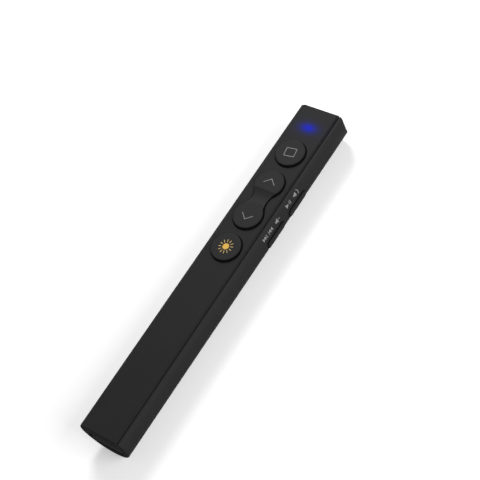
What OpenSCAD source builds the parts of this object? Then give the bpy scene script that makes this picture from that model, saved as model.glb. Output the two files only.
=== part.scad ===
// Wireless presentation clicker: a slim stick with four keys on its flat top, two rockers on its
// right side, a laser in its tip, a sliding battery cover and a receiver stored in its tail.
// Frame: millimetres, origin at the centre of the flat strip that it rests on, +Z up,
// +Y towards the laser tip, +X towards the side rockers.

/* [Body] */
// Length of the body from tail to tip
body_l = 140.2; // [138:0.2:160]
// Widest width of the body
body_w = 19.7; // [19.5:0.1:20.5]
// Height from the resting strip to the flat top
body_h = 14.1; // [14:0.1:14.6]
// Width of the flat top
top_w = 15.9; // [15.7:0.1:16.1]
// Height of the widest line, which is the axis of the rounded underside
axis_z = 9.6; // [9.5:0.1:9.7]
// Rounding of the edges of both end faces
end_r = 0.5; // [0.3:0.1:1.2]
// Rounding of the tip's two corners, seen from above
tip_corner_r = 2.4; // [1.8:0.1:2.6]
// Thickness of the top cover
cover_t = 1.5; // [1.4:0.1:1.6]
// Wall of the bottom case
wall = 1.5; // [1.4:0.1:1.6]

/* [Keys] */
// Diameter of the round keys
key_d = 11; // [10.6:0.1:11.2]
// How far the top keys stand above the flat top
key_proud = 1; // [0.7:0.1:1.2]
// Distance from one key centre to the next
key_pitch = 14; // [13.8:0.1:14.6]
// Distance from the tip to the centre of the first key
key_from_tip = 20.8; // [19:0.1:22]
// Gap between a top key and its hole
key_gap = 0.3; // [0.2:0.05:0.35]
// Narrowest width of the neck that joins the two pads of the page rocker
neck_w = 6.5; // [6:0.1:7]
// Length of a side rocker
side_key_l = 10.3; // [9.5:0.1:10.6]
// Height of a side rocker
side_key_h = 3.8; // [3.6:0.1:4]
// How far a side rocker stands out of the body
side_key_proud = 0.35; // [0.25:0.05:0.5]

/* [Laser and indicator] */
// Diameter of the laser opening in the tip
laser_hole_d = 3; // [2.6:0.1:3.2]
// Diameter of the laser barrel
laser_barrel_d = 4.6; // [4.2:0.1:4.6]
// Distance from the tip to the centre of the indicator
led_from_tip = 8.7; // [8.4:0.1:9]

/* [Battery and receiver] */
// Diameter of the AAA cell
cell_d = 10.5; // [10.3:0.1:10.5]
// Length of the AAA cell with its nub
cell_l = 44.5; // [44:0.1:44.5]
// Width of the receiver's housing
receiver_w = 13.2; // [12.8:0.1:13.2]
// Height of the receiver's housing
receiver_h = 6.2; // [5.8:0.1:6.2]
// Length of the receiver's housing
receiver_l = 6.7; // [6:0.1:7]

/* [Hidden] */
$fn = 96;
small_fn = 32;                             // facets of small roundings
past = 1;                                  // how far a cut runs past the face it opens
reach = 30;                                // larger than any cross-section

// Outline of the body
body_r = body_w / 2;
tail_y = -body_l / 2;
tip_y = body_l / 2;
shoulder_in = body_r - top_w / 2;
shoulder_rise = body_h - axis_z;
shoulder_r = (pow(shoulder_in, 2) + pow(shoulder_rise, 2)) / (2 * shoulder_in);
shoulder_x = body_r - shoulder_r;
corner_out = 0.05;                         // keeps the tip's round corners from just touching its faces
rim_drop = 0.75;                           // the case's rim lies this far under the flat top

// Top cover and the slanted seat that it drops into
cover_z = body_h - cover_t;
cover_top_w = top_w - 0.3;
cover_low_w = top_w - 1.4;
seat_gap = 0.2;                            // shows as a dark line along both edges of the top
cover_edge_r = 0.7;
cover_end_r = 0.4;
ledge_in = 6.9;                            // half width between the two ledges under the cover
ledge_t = 1;
side_in = 7.4;                             // half width of the cavity

// Keys
key_r = key_d / 2;
key_top = body_h + key_proud;
blank_y = tip_y - key_from_tip;
up_y = blank_y - key_pitch;
down_y = up_y - key_pitch;
laser_key_y = down_y - key_pitch;
page_y = (up_y + down_y) / 2;
rim_r = 0.4;
roof_t = 1.2;
flange_over = 0.8;
flange_t = 0.5;
flange_gap = 0.1;
flange_top = cover_z - flange_gap;
flange_low = flange_top - flange_t;
flange_flat = 5.9;                         // half width between the two flats on a round key's flange
stem_r = 1.5;
stem_low = flange_low - 0.5;
neck_half = neck_w / 2;
pad_off = key_pitch / 2;
// radius of the neck's concave sides, tangent to both pads
neck_side_r = (pow(pad_off, 2) + pow(neck_half, 2) - pow(key_r, 2)) / (2 * (key_r - neck_half));
neck_side_x = neck_side_r + neck_half;
neck_inset = 0.03;                         // keeps the neck's sides from just touching the pads
scoop_depth = 0.7;
scoop_half = 3.7;
scoop_y = page_y + 0.5;                    // the scoop runs into the upper pad and stops at the lower one
scoop_r = (pow(scoop_half, 2) + pow(scoop_depth, 2)) / (2 * scoop_depth);
rocker_low = flange_low - 0.1;
pin_r = 0.6;
pin_clear = 0.06;
page_pin_z = cover_z - 1.2;
page_pin_half = 5.4;
ear_in = 4.2;
lug_half = 3;
lug_r = 1.25;

// Side rockers
side_key_z = axis_z - 1.8;
side_pin_x = 7.6;
side_pin_r = 0.5;
side_pin_low = 4.9;
side_pin_top = cover_z - 1.2;
side_gap = 0.25;
side_flange_in = 7.2;
side_flange_out = 7.8;
side_pocket_x = 8.1;
side_flange_l = side_key_l + 1.7;
side_flange_h = side_key_h + 0.9;
side_barrel_r = 0.95;
side_corner = 1.2;
side_press_off = 3.6;                      // from a side rocker's pin to each of its switches

// Board and what stands on it
board_top = cover_z - 3.3;
board_t = 1;
board_low = board_top - board_t;
board_half = 6.3;
board_y0 = laser_key_y - 4.8;
board_y1 = tip_y - 6.6;
slot_y = tip_y - 15.2;
slot_half = 2.7;
board_screw_y = [(blank_y + up_y) / 2, (down_y + laser_key_y) / 2];
board_screw_r = 0.7;
switch_w = 4.5;
switch_h = 1.6;
plunger_r = 0.9;
plunger_clear = 0.15;
plunger_low = board_top + 0.7;
side_switch_z = board_low - 0.8;
side_switch_x0 = 3.2;
side_switch_x1 = 6.1;
side_plunger_r = 0.7;

// Laser and indicator
laser_z = axis_z - 0.3;
barrel_r = laser_barrel_d / 2;
barrel_y0 = tip_y - 13;
barrel_y1 = tip_y - 2.8;
barrel_bore_r = 1.7;
window_r = 2.2;
window_y0 = tip_y - 1.9;
window_t = 0.8;
led_y = tip_y - led_from_tip;
led_x = -4.6;
guide_w = 4.4;
guide_l = 2.8;
guide_low = cover_z - 0.6;
guide_top = cover_z + 0.8;

// Battery bay, between two partitions
bay_y0 = tail_y + 20.5;
spring_room = 2.8;
contact_t = 0.3;
bay_y1 = bay_y0 + spring_room + cell_l + contact_t;
partition_t = 1;
cell_r = cell_d / 2;
cell_z = 6.5;
cell_y0 = bay_y0 + spring_room;
cell_y1 = cell_y0 + cell_l;
bay_half = cell_r + 0.2;
strip_x = -6.75;
strip_z = [8, 10.5];

// Battery cover, a curved plate on two rails, and the channel that it slides in
lid_in_r = body_r - 1.05;
rail_out_r = lid_in_r + 0.5;
slide_gap = 0.15;
lid_angle = 43;
rail_angle = 48;
gap_angle = 0.9;
lid_y1 = bay_y1 + 0.4;
rear_cavity_r = lid_in_r - 0.9;
front_cavity_r = body_r - wall;

// Receiver, its dock and the block around them
receiver_z = 7.2;
receiver_corner = 1.8;
dock_gap = 0.2;
receiver_y0 = tail_y + 0.3;
receiver_y1 = receiver_y0 + receiver_l;
dock_y1 = receiver_y1 + 0.2;
block_y1 = dock_y1 + 1.3;
plug_w = 12;
plug_h = 4.5;
plug_l = 12;
plug_t = 0.3;
plug_y1 = receiver_y1 + plug_l;

// Screws that hold the top cover, driven from below
case_screw_xy = [[-5, tip_y - 4], [5, tip_y - 4], [-4.9, bay_y1 + 2.7], [4.9, bay_y1 + 2.7]];
column_r = 2.3;
column_top = 4.6;
head_r = 1.4;
head_seat = 3.3;
head_t = 0.9;
screw_r = 0.8;
screw_top = 8.3;
boss_r = 1.5;

// ---- Helpers ----

// Extrudes a drawing of (x, z) along Y
module along_y(y0, y1) {
    translate([0, y1, 0]) rotate([90, 0, 0]) linear_extrude(y1 - y0) children();
}

// Extrudes a drawing of (y, z) along X
module along_x(x0, x1) {
    translate([x0, 0, 0]) rotate([90, 0, 90]) linear_extrude(x1 - x0) children();
}

// A box between two corners
module block(low, high) {
    translate(low) cube(high - low);
}

// A round rod along Y
module rod_y(r, x, y0, y1, z) {
    translate([x, y0, z]) rotate([-90, 0, 0]) cylinder(r = r, h = y1 - y0);
}

// A round rod along X
module rod_x(r, x0, x1, y, z) {
    translate([x0, y, z]) rotate([0, 90, 0]) cylinder(r = r, h = x1 - x0);
}

// A rectangle with round corners, centred
module round_rect(w, h, r) {
    square([w - 2 * r, h], center = true);
    square([w, h - 2 * r], center = true);
    for (x = [-1, 1], y = [-1, 1]) translate([x * (w / 2 - r), y * (h / 2 - r)]) circle(r = r);
}

// A solid turned about a lengthwise axis at the height of the widest line, round at its ends
module turned_bar(r, x = 0) {
    translate([x, 0, axis_z]) rotate([-90, 0, 0]) rotate_extrude() {
        translate([0, tail_y]) square([r - end_r, body_l]);
        translate([0, tail_y + end_r]) square([r, body_l - 2 * end_r]);
        for (y = [tail_y + end_r, tip_y - end_r]) translate([r - end_r, y]) circle(r = end_r, $fn = small_fn);
    }
}

// Room for the body seen from above, which rounds off the tip's two corners, in (x, y)
module tip_outline() {
    side = body_r + corner_out;
    end = tip_y + corner_out;
    translate([-side, tail_y - past]) square([2 * side, end - tip_corner_r - tail_y + past]);
    translate([tip_corner_r - side, tail_y - past])
        square([2 * (side - tip_corner_r), end - tail_y + past]);
    for (x = [-1, 1]) translate([x * (side - tip_corner_r), end - tip_corner_r])
        circle(r = tip_corner_r);
}

// The whole body as one solid: a round underside, two arched shoulders and a flat top
module body_solid() {
    intersection() {
        union() {
            intersection() {
                turned_bar(body_r);
                block([-reach, tail_y - past, 0], [reach, tip_y + past, axis_z]);
            }
            for (side = [0, 1]) mirror([side, 0, 0]) intersection() {
                turned_bar(shoulder_r, shoulder_x);
                block([shoulder_x, tail_y - past, axis_z], [reach, tip_y + past, body_h]);
            }
            block([-shoulder_x, tail_y, axis_z], [shoulder_x, tip_y, body_h]);
        }
        translate([0, 0, -past]) linear_extrude(body_h + 2 * past) tip_outline();
    }
}

// A wedge that opens downwards from the body's axis, in (x, z)
module wedge(angle) {
    side = reach * sin(angle);
    drop = reach * cos(angle);
    translate([0, axis_z]) polygon([[0, 0], [side, -drop], [-side, -drop]]);
}

// A ring about the body's axis, cut to a wedge, in (x, z)
module ring_wedge(r_in, r_out, angle) {
    intersection() {
        translate([0, axis_z]) difference() {
            circle(r = r_out);
            circle(r = r_in);
        }
        wedge(angle);
    }
}

// Cross-section of the hollow inside the case, in (x, z)
module cavity_profile(r) {
    intersection() {
        translate([0, axis_z]) circle(r = r);
        translate([-side_in, 0]) square([2 * side_in, cover_z - ledge_t]);
    }
    translate([-ledge_in, axis_z]) square([2 * ledge_in, body_h]);
}

// The seat that the cover drops into, with slanted sides, in (x, z)
module seat_profile() {
    low = cover_low_w / 2 + seat_gap;
    high = cover_top_w / 2 + seat_gap;
    polygon([[-low, cover_z], [low, cover_z], [high, body_h], [high, body_h + past],
             [-high, body_h + past], [-high, body_h]]);
}

// The neck between the two pads of the page rocker, with concave sides, in (x, y)
module neck_outline(gap) {
    share = (key_r + gap) / (key_r + neck_side_r);
    translate([0, page_y]) difference() {
        square(2 * [neck_side_x * share, pad_off * (1 - share)], center = true);
        for (x = [-1, 1]) translate([x * neck_side_x, 0]) circle(r = neck_side_r - gap);
    }
}

// Half of a key's cap with a rounded rim, hollow below, for turning about its centre
module cap_half(low, roof) {
    difference() {
        union() {
            translate([0, low]) square([key_r, key_top - rim_r - low]);
            translate([0, low]) square([key_r - rim_r, key_top - low]);
            translate([key_r - rim_r, key_top - rim_r]) circle(r = rim_r, $fn = small_fn);
        }
        translate([stem_r, low - past]) square([key_r - roof - stem_r, key_top - roof - low + past]);
    }
}

// ---- Case, cover and battery cover ----

// The channel in the case for the battery cover and its rails, in (x, z)
module lid_channel() {
    ring_wedge(lid_in_r - slide_gap, reach, lid_angle + gap_angle);
    ring_wedge(lid_in_r - slide_gap, rail_out_r + 0.12, rail_angle + gap_angle);
}

// A window for one side rocker with a pocket behind it and a groove for its pin
module side_window(y) {
    win_l = side_key_l + 0.4;
    win_h = side_key_h + 2 * side_gap;
    translate([0, y, side_key_z]) {
        along_x(side_in - past, body_r + past) round_rect(win_l, win_h, side_corner + side_gap);
        block([side_in - past, -side_flange_l / 2 - 0.2, -side_flange_h / 2 - 0.25],
              [side_pocket_x, side_flange_l / 2 + 0.2, side_flange_h / 2 + 0.25]);
    }
    translate([side_pin_x, y, side_pin_low]) cylinder(r = side_pin_r, h = side_pin_top - side_pin_low);
}

// Columns and posts that stand on the floor of the case
module case_posts() {
    intersection() {
        union() {
            for (p = case_screw_xy) translate(p) cylinder(r = column_r, h = column_top);
            for (y = board_screw_y) translate([0, y, 0]) cylinder(r = 2, h = board_low);
            for (y = [barrel_y0 + 2, barrel_y1 - 3])
                block([-3.2, y - 0.6, 0], [3.2, y + 0.6, board_low - 0.1]);
        }
        along_y(bay_y1 + 0.1, tip_y - 0.5) translate([0, axis_z]) circle(r = body_r - 0.4);
    }
}

module bottom_case() {
    color("#2b2b2c") difference() {
        union() {
            difference() {
                body_solid();
                along_y(block_y1, bay_y0 - partition_t) cavity_profile(rear_cavity_r);
                along_y(bay_y0, bay_y1) cavity_profile(rear_cavity_r);
                along_y(bay_y1 + partition_t, tip_y - wall) cavity_profile(front_cavity_r);
            }
            case_posts();
        }
        // seat of the cover and the lowered rim
        along_y(tail_y - past, tip_y + past) seat_profile();
        block([-reach, tail_y - past, body_h - rim_drop], [reach, tip_y + past, body_h + past]);
        // battery cover's channel and the way in for the cell
        along_y(tail_y - past, lid_y1 + 0.15) lid_channel();
        block([-bay_half, bay_y0 + 0.6, -past], [bay_half, bay_y1, cell_z]);
        // dock for the receiver, the slot for its plug and a pocket over them
        along_y(tail_y - past, dock_y1) translate([0, receiver_z])
            round_rect(receiver_w + 2 * dock_gap, receiver_h + 2 * dock_gap, receiver_corner + dock_gap);
        block([-plug_w / 2 - 0.2, dock_y1 - past, receiver_z - plug_h / 2 - 0.2],
              [plug_w / 2 + 0.2, block_y1 + past, receiver_z + plug_h / 2 + 0.2]);
        block([-6, tail_y + wall, receiver_z + receiver_h / 2 + 1], [6, dock_y1 - 0.5, body_h]);
        // side rockers
        for (y = [up_y, down_y]) side_window(y);
        // laser opening, its flare and the seat of its window
        rod_y(laser_hole_d / 2, 0, tip_y - wall - past, tip_y + past, laser_z);
        translate([0, tip_y - 0.6, laser_z]) rotate([-90, 0, 0])
            cylinder(r1 = laser_hole_d / 2, r2 = laser_hole_d / 2 + 0.7, h = 0.7);
        rod_y(window_r + 0.05, 0, window_y0 - past, window_y0 + window_t, laser_z);
        // saddles for the laser barrel, and pilot holes for the board's screws
        rod_y(barrel_r, 0, barrel_y0, barrel_y1, laser_z);
        for (y = board_screw_y) translate([0, y, board_low - 4.2]) cylinder(r = board_screw_r, h = 5);
        // counterbores and clearance holes for the case's screws
        for (p = case_screw_xy) translate(p) {
            translate([0, 0, -past]) cylinder(r = head_r + 0.2, h = head_seat + past);
            cylinder(r = screw_r + 0.15, h = column_top + past);
        }
        // slots in the front partition for the two contacts' tails
        block([strip_x - 0.25, bay_y1 - 0.5, strip_z[0] - 0.2],
              [strip_x + 0.55, bay_y1 + partition_t + 0.5, strip_z[1] + 0.2]);
        block([-1.4, bay_y1 - 0.5, board_top - 0.2],
              [1.4, bay_y1 + partition_t + 0.5, board_top + 0.5]);
    }
}

// Cross-section of the top cover: slanted sides and rounded upper edges, in (x, z)
module cover_profile() {
    low = cover_low_w / 2;
    slant = (cover_top_w - cover_low_w) / (2 * cover_t);
    high = low + slant * (cover_t - cover_edge_r);
    polygon([[-low, cover_z], [low, cover_z], [high, body_h - cover_edge_r],
             [-high, body_h - cover_edge_r]]);
    translate([-high + cover_edge_r, body_h - 2 * cover_edge_r])
        square(2 * [high - cover_edge_r, cover_edge_r]);
    for (side = [-1, 1])
        translate([side * (high - cover_edge_r), body_h - cover_edge_r]) circle(r = cover_edge_r);
}

// Side view of the cover with its rounded upper ends, in (y, z)
module cover_side() {
    translate([tail_y, cover_z]) square([body_l, cover_t - cover_end_r]);
    translate([tail_y + cover_end_r, cover_z]) square([body_l - 2 * cover_end_r, cover_t]);
    for (y = [tail_y + cover_end_r, tip_y - cover_end_r])
        translate([y, body_h - cover_end_r]) circle(r = cover_end_r);
}

// A snap hook under the cover that grips below the case's ledge, in (x, z)
module hook_profile() {
    polygon([[6, cover_z + 0.1], [6.75, cover_z + 0.1], [6.75, cover_z - 1.15],
             [7.15, cover_z - 1.2], [6.75, cover_z - 2], [6, cover_z - 2]]);
}

module top_cover() {
    color("#333334") difference() {
        union() {
            intersection() {
                body_solid();
                along_y(tail_y - past, tip_y + past) cover_profile();
                along_x(-reach, reach) cover_side();
            }
            // bosses for the case's screws
            for (p = case_screw_xy) translate([p[0], p[1], column_top])
                cylinder(r = boss_r, h = cover_z - column_top + 0.2);
            // ears that carry the page rocker's pin
            for (side = [0, 1]) mirror([side, 0, 0])
                block([ear_in, page_y - 1.4, page_pin_z - 1.2],
                      [page_pin_half, page_y + 1.4, cover_z + 0.1]);
            // guides beside the flats of the round keys
            for (side = [0, 1], y = [blank_y, laser_key_y]) mirror([side, 0, 0])
                block([flange_flat + 0.12, y - 3, flange_low - 0.4],
                      [flange_flat + 0.7, y + 3, cover_z + 0.1]);
            // snap hooks
            for (side = [0, 1], y = [block_y1 + 6, (cell_y0 + cell_y1) / 2]) mirror([side, 0, 0])
                along_y(y - 1.5, y + 1.5) hook_profile();
        }
        translate([0, 0, cover_z - past]) linear_extrude(cover_t + 2 * past) {
            for (y = [blank_y, up_y, down_y, laser_key_y]) translate([0, y]) circle(r = key_r + key_gap);
            neck_outline(key_gap);
        }
        rod_x(pin_r, -page_pin_half - past, page_pin_half + past, page_y, page_pin_z);
        for (p = case_screw_xy) translate([p[0], p[1], column_top - past])
            cylinder(r = screw_r, h = screw_top - column_top + past + 0.2);
        // thin skin over the indicator
        block([-guide_w / 2 - 0.15, led_y - guide_l / 2 - 0.15, cover_z - past],
              [guide_w / 2 + 0.15, led_y + guide_l / 2 + 0.15, guide_top + 0.05]);
    }
}

module battery_cover() {
    grip_y = lid_y1 - 6;
    color("#2b2b2c") difference() {
        intersection() {
            turned_bar(body_r);
            block([-reach, tail_y - past, 0], [reach, lid_y1, axis_z]);
            along_y(tail_y - past, lid_y1 + past) {
                ring_wedge(lid_in_r, reach, lid_angle);
                ring_wedge(lid_in_r, rail_out_r, rail_angle);
            }
        }
        // grip grooves for the thumb
        for (i = [0 : 4]) rod_x(0.4, -2, 2, grip_y - 1.6 * i, -0.1);
        // sunk arrow that shows which way the cover slides off
        translate([0, grip_y - 13, -past]) linear_extrude(past + 0.3)
            polygon([[0, -2.4], [1.7, 0.2], [0.6, 0.2], [0.6, 2.4], [-0.6, 2.4], [-0.6, 0.2], [-1.7, 0.2]]);
    }
}

// ---- Top keys ----

// A round key that slides straight down, with two flats on its flange
module round_key(y) {
    translate([0, y, 0]) intersection() {
        rotate_extrude() {
            cap_half(flange_low, roof_t);
            translate([key_r - roof_t, flange_low]) square([roof_t + flange_over, flange_t]);
            translate([0, stem_low]) square([stem_r, key_top - rim_r - stem_low]);
        }
        block([-flange_flat, -reach, 0], [flange_flat, reach, reach]);
    }
}

// The moving plunger of a push switch on the board
module plunger(y) {
    translate([0, y, plunger_low]) cylinder(r = plunger_r, h = stem_low - plunger_low);
}

module blank_button() {
    color("#3a3a3a") round_key(blank_y);
}

module laser_button() {
    color("#3a3a3a") round_key(laser_key_y);
}

// One round pad of the page rocker
module rocker_pad(y) {
    translate([0, y, 0]) rotate_extrude() {
        cap_half(rocker_low, roof_t);
        translate([0, stem_low]) square([stem_r, key_top - rim_r - stem_low]);
    }
}

module page_rocker() {
    color("#3a3a3a") difference() {
        union() {
            rocker_pad(down_y);
            difference() {
                union() {
                    rocker_pad(up_y);
                    translate([0, 0, rocker_low]) linear_extrude(key_top - rocker_low) difference() {
                        neck_outline(-neck_inset);
                        for (y = [up_y, down_y]) translate([0, y]) circle(r = key_r - 0.8);
                    }
                }
                rod_x(scoop_r, -key_r - past, key_r + past, scoop_y, key_top - scoop_depth + scoop_r);
            }
            rod_x(lug_r, -lug_half, lug_half, page_y, page_pin_z);
        }
        rod_x(pin_r + pin_clear, -lug_half - past, lug_half + past, page_y, page_pin_z);
    }
}

module page_rocker_pin() {
    color("#b9bcc0") rod_x(pin_r, -page_pin_half, page_pin_half, page_y, page_pin_z);
}

module blank_plunger() {
    color("#d8d4c8") plunger(blank_y);
}

module laser_plunger() {
    color("#d8d4c8") plunger(laser_key_y);
}

module page_plungers() {
    color("#d8d4c8") for (y = [up_y, down_y]) plunger(y);
}

// ---- Side rockers ----

// A side rocker: a curved cap, a flange behind the wall and a barrel for the upright pin
module side_key(y) {
    difference() {
        translate([0, y, 0]) {
            intersection() {
                translate([0, 0, side_key_z]) along_x(side_flange_in, body_r + past)
                    round_rect(side_key_l, side_key_h, side_corner);
                rod_y(body_r + side_key_proud, 0, -side_key_l, side_key_l, axis_z);
            }
            translate([0, 0, side_key_z]) {
                block([side_flange_in, -side_flange_l / 2, -side_flange_h / 2],
                      [side_flange_out, side_flange_l / 2, side_flange_h / 2]);
                translate([side_pin_x, 0, -side_key_h / 2]) cylinder(r = side_barrel_r, h = side_key_h);
            }
        }
        translate([side_pin_x, y, 0]) cylinder(r = side_pin_r + pin_clear, h = body_h);
    }
}

// The moving plungers of the two side-push switches under one side rocker
module side_plungers(y) {
    for (s = [-1, 1]) rod_x(side_plunger_r, 5, side_flange_in, y + s * side_press_off, side_switch_z);
}

module volume_rocker() {
    color("#262627") side_key(up_y);
}

module media_rocker() {
    color("#262627") side_key(down_y);
}

module volume_plungers() {
    color("#d8d4c8") side_plungers(up_y);
}

module media_plungers() {
    color("#d8d4c8") side_plungers(down_y);
}

module side_rocker_pins() {
    color("#b9bcc0") for (y = [up_y, down_y])
        translate([side_pin_x, y, side_pin_low]) cylinder(r = side_pin_r, h = side_pin_top - side_pin_low);
}

// ---- Board and what stands on it ----

module main_board() {
    color("#1f5a38") difference() {
        block([-board_half, board_y0, board_low], [board_half, board_y1, board_top]);
        block([-slot_half, slot_y, board_low - past], [slot_half, board_y1 + past, board_top + past]);
        for (y = board_screw_y) translate([0, y, board_low - past])
            cylinder(r = board_screw_r + 0.15, h = board_t + 2 * past);
    }
}

module board_screws() {
    color("#b9bcc0") for (y = board_screw_y) translate([0, y, 0]) difference() {
        union() {
            translate([0, 0, board_low - 4]) cylinder(r = board_screw_r, h = 4 + board_t);
            translate([0, 0, board_top]) cylinder(r = 1.3, h = 0.8);
        }
        for (a = [0, 90]) rotate(a) translate([-0.8, -0.15, board_top + 0.4]) cube([1.6, 0.3, past]);
    }
}

module top_switches() {
    color("#c9ccd0") for (y = [blank_y, up_y, down_y, laser_key_y]) translate([0, y, board_top]) {
        difference() {
            translate([-switch_w / 2, -switch_w / 2, 0]) cube([switch_w, switch_w, switch_h]);
            translate([0, 0, 0.2]) cylinder(r = plunger_r + plunger_clear, h = switch_h);
        }
        for (x = [-1, 1], s = [-1, 1])
            translate([x * (switch_w / 2 + 0.3) - 0.35, s * 1.4 - 0.3, 0]) cube([0.7, 0.6, 0.2]);
    }
}

module side_switches() {
    color("#c9ccd0") for (y = [up_y, down_y], s = [-1, 1])
        translate([0, y + s * side_press_off, 0]) difference() {
            block([side_switch_x0, -1.9, board_low - 1.6], [side_switch_x1, 1.9, board_low]);
            rod_x(side_plunger_r + plunger_clear, 4.4, side_switch_x1 + past, 0, side_switch_z);
        }
}

module radio_chip() {
    color("#18181a") translate([-4.5, page_y - 2.5, board_low - 0.9]) cube([5, 5, 0.9]);
}

module crystal() {
    color("#c4c6c8") translate([-4.8, page_y + 5, board_low - 0.7]) cube([3.2, 2.5, 0.7]);
}

module board_capacitors() {
    color("#b58a5a") for (x = [-5.3, -2.9], i = [0 : 3])
        translate([x, page_y - 11 + 2.2 * i, board_low - 0.5]) cube([1, 0.5, 0.5]);
}

module status_led() {
    color("#e8eef8") block([led_x - 0.8, led_y - 0.4, board_top], [led_x + 0.8, led_y + 0.4, board_top + 0.6]);
}

module led_light_guide() {
    color("#dfe8f2") {
        block([led_x - 0.8, led_y - 0.8, board_top + 0.7], [led_x + 0.8, led_y + 0.8, guide_low]);
        block([led_x - 0.8, led_y - 1.2, guide_low], [guide_w / 2, led_y + 1.2, cover_z - 0.05]);
        block([-guide_w / 2, led_y - guide_l / 2, cover_z - 0.2],
              [guide_w / 2, led_y + guide_l / 2, guide_top]);
    }
}

// ---- Laser ----

module laser_barrel() {
    color("#b08d4a") difference() {
        rod_y(barrel_r, 0, barrel_y0, barrel_y1, laser_z);
        rod_y(barrel_bore_r, 0, barrel_y0 - past, barrel_y1 + past, laser_z);
    }
}

module laser_diode() {
    color("#c9b071") {
        rod_y(1.9, 0, barrel_y0 - 0.6, barrel_y0, laser_z);
        rod_y(1.65, 0, barrel_y0, barrel_y0 + 1.8, laser_z);
    }
}

module laser_leads() {
    color("#c9ccd0") for (x = [-0.9, 0, 0.9]) rod_y(0.2, x, slot_y - 1.6, barrel_y0 - 0.6, board_top + 0.2);
}

module laser_lens() {
    lens_r = 4;
    lens_t = 1.5;
    color("#e9d9dc") intersection() {
        rod_y(barrel_bore_r, 0, barrel_y1 - 2.2, barrel_y1, laser_z);
        translate([0, barrel_y1 - 0.5 - lens_r, laser_z]) sphere(r = lens_r);
        translate([0, barrel_y1 - 0.5 - lens_t + lens_r, laser_z]) sphere(r = lens_r);
    }
}

module laser_window() {
    color("#7c1a20") rod_y(window_r, 0, window_y0, window_y0 + window_t, laser_z);
}

// ---- Battery ----

module battery_cell() {
    nub_l = 0.8;
    nub_r = 1.9;
    edge = 0.4;
    color("#3d6f8f") translate([0, cell_y0, cell_z]) rotate([-90, 0, 0]) rotate_extrude() {
        square([cell_r - edge, cell_l - nub_l]);
        translate([0, edge]) square([cell_r, cell_l - nub_l - 2 * edge]);
        for (y = [edge, cell_l - nub_l - edge]) translate([cell_r - edge, y]) circle(r = edge, $fn = small_fn);
        square([nub_r, cell_l]);
    }
}

// Points of a ring of the spring's wire, at an angle along the coil
function wire_ring(turn, rise, r, wire, sides) =
    [for (k = [0 : sides - 1])
        let(out = r + wire * cos(360 * k / sides))
        [out * cos(turn), out * sin(turn), rise + wire * sin(360 * k / sides)]];

module battery_spring() {
    turns = 3;
    sides = 6;
    steps = 16;
    wire = 0.25;
    last = turns * steps;
    h = spring_room - contact_t - 2 * wire;
    points = [for (i = [0 : last])
        each wire_ring(360 * i / steps, wire + h * i / last, 2.2 + 1.4 * (1 - i / last), wire, sides)];
    faces = [
        [for (k = [0 : sides - 1]) k],
        for (i = [0 : last - 1], k = [0 : sides - 1])
            [i * sides + k, (i + 1) * sides + k, (i + 1) * sides + (k + 1) % sides],
        for (i = [0 : last - 1], k = [0 : sides - 1])
            [i * sides + k, (i + 1) * sides + (k + 1) % sides, i * sides + (k + 1) % sides],
        [for (k = [sides - 1 : -1 : 0]) last * sides + k]
    ];
    color("#c9ccd0") translate([0, bay_y0 + contact_t, cell_z]) rotate([-90, 0, 0])
        polyhedron(points = points, faces = faces);
}

module negative_contact() {
    color("#c9ccd0") {
        block([strip_x, bay_y0, strip_z[0]], [4.5, bay_y0 + contact_t, strip_z[1]]);
        block([-4.5, bay_y0, 3.6], [4.5, bay_y0 + contact_t, 10.4]);
        block([strip_x, bay_y0, strip_z[0]], [strip_x + contact_t, board_y0 + 1.8, strip_z[1]]);
        block([strip_x, board_y0 + 0.4, board_top], [-5.2, board_y0 + 1.8, board_top + contact_t]);
    }
}

module positive_contact() {
    color("#c9ccd0") {
        block([-3.5, bay_y1 - contact_t, 3], [3.5, bay_y1, 10.2]);
        block([-1.2, bay_y1 - contact_t, board_top], [1.2, board_y0 + 1.4, board_top + contact_t]);
    }
}

// ---- Screws of the case ----

module case_screws() {
    color("#8d9095") for (p = case_screw_xy) translate([p[0], p[1], 0]) difference() {
        union() {
            translate([0, 0, head_seat - head_t]) cylinder(r = head_r, h = head_t);
            translate([0, 0, head_seat]) cylinder(r = screw_r, h = screw_top - head_seat);
        }
        for (a = [0, 90]) rotate(a)
            translate([-0.9, -0.18, head_seat - head_t - past]) cube([1.8, 0.36, past + 0.5]);
    }
}

// ---- Receiver ----

module receiver_housing() {
    nail_r = 3.2;
    color("#222223") difference() {
        along_y(receiver_y0, receiver_y1) translate([0, receiver_z])
            round_rect(receiver_w, receiver_h, receiver_corner);
        // room for the board and the root of the plug
        along_y(receiver_y0 + 1.2, receiver_y1 + past) translate([0, receiver_z])
            square([plug_w, plug_h], center = true);
        // scoop for a fingernail
        translate([0, receiver_y0 - nail_r + 0.9, receiver_z + receiver_h / 2 - 0.4])
            cylinder(r = nail_r, h = 2, center = true);
    }
}

module receiver_board() {
    color("#1f5a38") block([-5.4, receiver_y0 + 1.6, receiver_z - 0.4], [5.4, receiver_y1 - 0.2, receiver_z + 0.4]);
}

module receiver_shell() {
    color("#c9ccd0") difference() {
        along_y(receiver_y1 - 1.2, plug_y1) translate([0, receiver_z]) difference() {
            round_rect(plug_w, plug_h, 0.6);
            round_rect(plug_w - 2 * plug_t, plug_h - 2 * plug_t, 0.3);
        }
        // the four square windows of a plug
        for (x = [-2.8, 2.8])
            block([x - 1.2, plug_y1 - 6.6, receiver_z - plug_h], [x + 1.2, plug_y1 - 4.4, receiver_z + plug_h]);
    }
}

module receiver_tongue() {
    half = plug_w / 2 - 2 * plug_t;
    color("#efefec") block([-half, receiver_y1 - 0.2, receiver_z - plug_h / 2 + plug_t],
                           [half, plug_y1 - 0.4, receiver_z]);
}

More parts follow.
